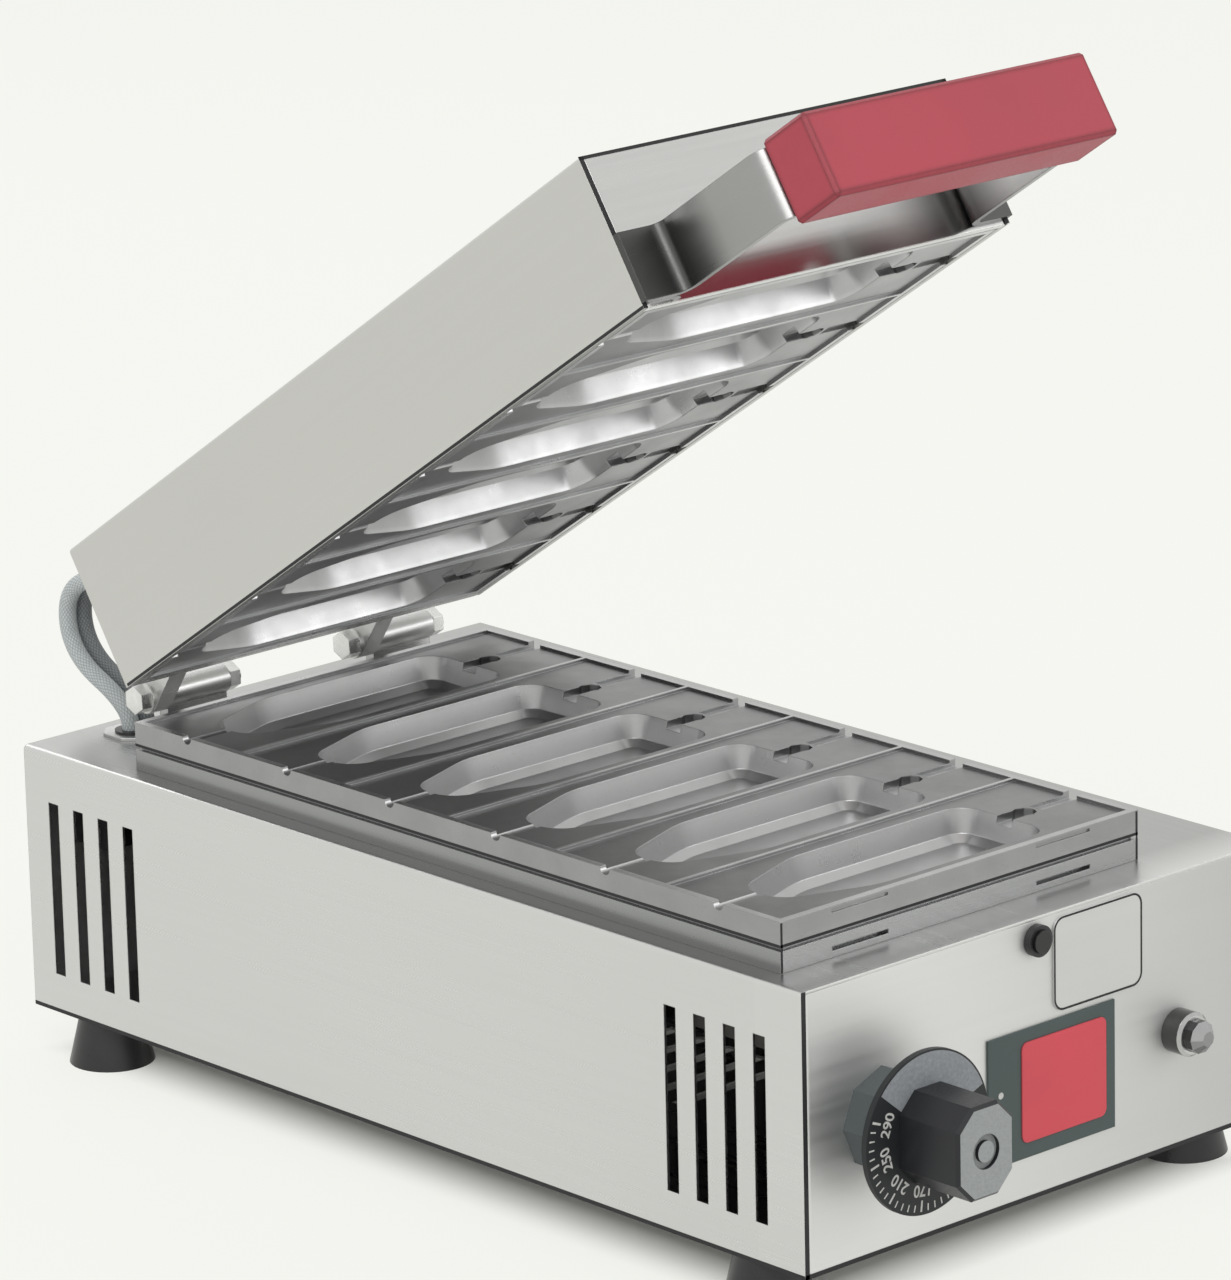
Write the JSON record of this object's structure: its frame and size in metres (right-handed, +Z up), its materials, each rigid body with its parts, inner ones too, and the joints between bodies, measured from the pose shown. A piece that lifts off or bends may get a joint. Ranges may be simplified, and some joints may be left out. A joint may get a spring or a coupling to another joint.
{
  "type": "crepe maker",
  "caption": "Countertop crepe maker with a hinged lid, paired cast mould plates, red bar handle, thermostat dial and indicator lamps.",
  "frame": {"origin": "On the floor under the middle of the housing's footprint.", "axes": "+Z up. -Y towards the front panel with its dial, +Y towards the hinges. +X to the right as seen from the front; the dial is at -X."},
  "size_m": [0.251, 0.5142, 0.4317],
  "materials": {
    "housing_steel": "satin",
    "plain_steel": "brushed",
    "cast_aluminium": "satin",
    "fasteners": "polished",
    "element_steel": "satin",
    "insulation_board": "matte",
    "rubber_black": "matte",
    "lead_sleeve_light": "woven",
    "lead_sleeve_dark": "woven",
    "handle_red": "satin",
    "dial_black": "satin",
    "knob_dark": "satin",
    "collar_grey": "satin",
    "moulded_black": "matte",
    "chrome_trim": "polished",
    "lens_clear": "clear",
    "lens_dark": "gloss",
    "plate_green_grey": "satin",
    "tile_red": "satin",
    "plate_silver": "satin"
  },
  "bodies": {
    "base": {"bottom_plate": "housing_steel", "feet": "rubber_black", "front_panel": "housing_steel", "gland_plate_base": "plain_steel", "heat_shield": "plain_steel", "hinge_bracket_left": "plain_steel", "hinge_bracket_right": "plain_steel", "housing_wrapper": "housing_steel", "inlet_gland": "moulded_black", "inlet_nut": "moulded_black", "lead_grommet_base": "rubber_black", "lead_left": "lead_sleeve_light", "lead_right": "lead_sleeve_dark", "lower_clamp_plate": "plain_steel", "lower_clamp_studs": "fasteners", "lower_element": "element_steel", "lower_insulation": "insulation_board", "lower_mould": "cast_aluminium", "mould_frame": "plain_steel", "name_plate": "plate_green_grey", "name_tile": "tile_red", "pilot_lamp_bezel": "chrome_trim", "pilot_lamp_body": "moulded_black", "pilot_lamp_lens": "lens_clear", "rating_plate": "plate_silver", "rear_panel": "housing_steel", "small_lamp_body": "moulded_black", "small_lamp_lens": "lens_dark", "terminal_block_base": "moulded_black", "thermostat_body": "moulded_black", "thermostat_bulb": "fasteners", "thermostat_collar": "collar_grey"},
    "lid": {"lid_wrapper": "housing_steel", "lid_front_panel": "housing_steel", "lid_rear_panel": "housing_steel", "upper_mould": "cast_aluminium", "upper_element": "element_steel", "upper_clamp_plate": "plain_steel", "upper_insulation": "insulation_board", "upper_clamp_studs": "fasteners", "lid_ear_left": "plain_steel", "lid_ear_right": "plain_steel", "hinge_bolt_left": "fasteners", "hinge_bolt_right": "fasteners", "hinge_nuts": "fasteners", "gland_plate_lid": "plain_steel", "lead_grommet_lid": "rubber_black", "terminal_block_lid": "moulded_black", "handle_bracket": "plain_steel", "handle_grip": "handle_red"},
    "knob": {"dial_disc": "dial_black", "knob_grip": "knob_dark", "thermostat_shaft": "fasteners"}
  },
  "joints": [
    {"name": "lid_hinge", "type": "hinge", "parent": "base", "child": "lid", "pos_m": [0, 0.1837, 0.1454], "axis": [-1, 0, 0], "range_deg": [-33.4, 61.6], "deforming": ["lead_left", "lead_right"]},
    {"name": "thermostat_turn", "type": "hinge", "parent": "base", "child": "knob", "pos_m": [-0.082, -0.2446, 0.07], "axis": [0, -1, 0], "range_deg": [-60, 210]}
  ]
}
